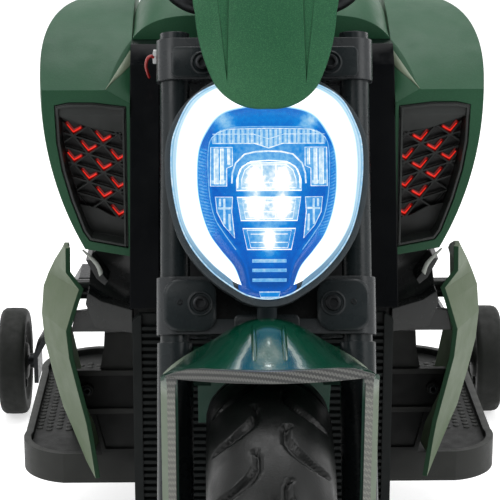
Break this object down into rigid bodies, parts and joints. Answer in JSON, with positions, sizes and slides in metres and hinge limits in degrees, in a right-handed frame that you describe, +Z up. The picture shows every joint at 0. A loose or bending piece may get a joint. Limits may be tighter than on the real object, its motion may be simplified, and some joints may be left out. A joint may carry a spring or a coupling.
{
  "type": "child's ride-on power cruiser motorcycle",
  "caption": "Child's battery ride-on motorcycle in power cruiser style: raked fork, shield-shaped lit headlamp, side intakes, footboards and stabiliser wheels.",
  "frame": {"origin": "on the ground, at the middle of the bike's length and width", "axes": "-Y is the front, the way it drives; +X is the rider's left, on the right in the front view; +Z is up"},
  "size_m": [0.615, 1.1202, 0.6745],
  "materials": {
    "green_paint": "dark green with fine metal flake, gloss",
    "black_plastic": "satin moulded plastic",
    "gloss_black": "polished",
    "grey_plastic": "satin dark grey",
    "weave_trim": "carbon-look weave under clear coat",
    "lamp_white": "lit diffuser",
    "lamp_blue": "metallised reflector under blue light",
    "lamp_clear": "clear cover",
    "lamp_red": "lit red diffuser",
    "tyre": "matt, carved tread",
    "steel": "zinc plated",
    "seat_vinyl": "grained black vinyl",
    "grip_rubber": "ribbed",
    "plate": "blank",
    "battery_case": "plain case"
  },
  "bodies": {
    "chassis": {"accelerator_pedal": "black_plastic", "battery": "battery_case", "chassis": "black_plastic", "exhaust": "grey_plastic", "gear_motor": "battery_case", "intake_lights": "lamp_red", "left_engine_cover": "black_plastic", "left_footboard": "black_plastic", "left_intake_grille": "grey_plastic", "left_shroud": "green_paint", "left_side_blade": "green_paint", "left_side_panel": "black_plastic", "left_swing_arm": "black_plastic", "left_training_bracket": "steel", "number_plate": "plate", "pillars": "gloss_black", "plate_holder": "black_plastic", "radiator_panel": "grey_plastic", "rear_axle": "steel", "rear_fender": "black_plastic", "right_engine_cover": "black_plastic", "right_footboard": "black_plastic", "right_intake_grille": "grey_plastic", "right_shroud": "green_paint", "right_side_blade": "green_paint", "right_side_panel": "black_plastic", "right_swing_arm": "black_plastic", "right_training_bracket": "steel", "seat": "seat_vinyl", "tail_cowl": "green_paint", "tail_light": "lamp_red", "tank_cover": "green_paint"},
    "fork": {"lower_clamp": "grey_plastic", "upper_clamp": "grey_plastic", "fork_legs": "grey_plastic", "steering_stem": "steel", "front_axle": "steel", "headlight_housing": "black_plastic", "headlight_ring": "lamp_white", "headlight_reflector": "lamp_blue", "headlight_lens": "lamp_clear", "nose_cowl": "green_paint", "dash": "black_plastic", "front_fender": "green_paint", "fender_trim": "weave_trim", "handlebar": "steel", "handlebar_risers": "black_plastic", "left_grip": "grip_rubber", "right_grip": "grip_rubber", "levers": "black_plastic"},
    "front_wheel": {"front_tyre": "tyre", "front_rim": "grey_plastic"},
    "rear_wheel": {"rear_tyre": "tyre", "rear_rim": "grey_plastic"},
    "left_training_wheel": {"left_training_wheel": "tyre"},
    "right_training_wheel": {"right_training_wheel": "tyre"}
  },
  "joints": [
    {"name": "steering", "type": "hinge", "parent": "chassis", "child": "fork", "pos_m": [0, -0.36492, 0.1454], "axis": [0, 0.3843, 0.9232], "range_deg": [-25, 25]},
    {"name": "front_wheel_spin", "type": "hinge", "parent": "fork", "child": "front_wheel", "pos_m": [0, -0.4, 0.16], "axis": [1, 0, 0], "continuous": true},
    {"name": "rear_wheel_spin", "type": "hinge", "parent": "chassis", "child": "rear_wheel", "pos_m": [0, 0.372, 0.15], "axis": [1, 0, 0], "continuous": true},
    {"name": "left_training_wheel_spin", "type": "hinge", "parent": "chassis", "child": "left_training_wheel", "pos_m": [0.2825, 0.4, 0.064], "axis": [1, 0, 0], "continuous": true},
    {"name": "right_training_wheel_spin", "type": "hinge", "parent": "chassis", "child": "right_training_wheel", "pos_m": [-0.2825, 0.4, 0.064], "axis": [1, 0, 0], "continuous": true}
  ]
}
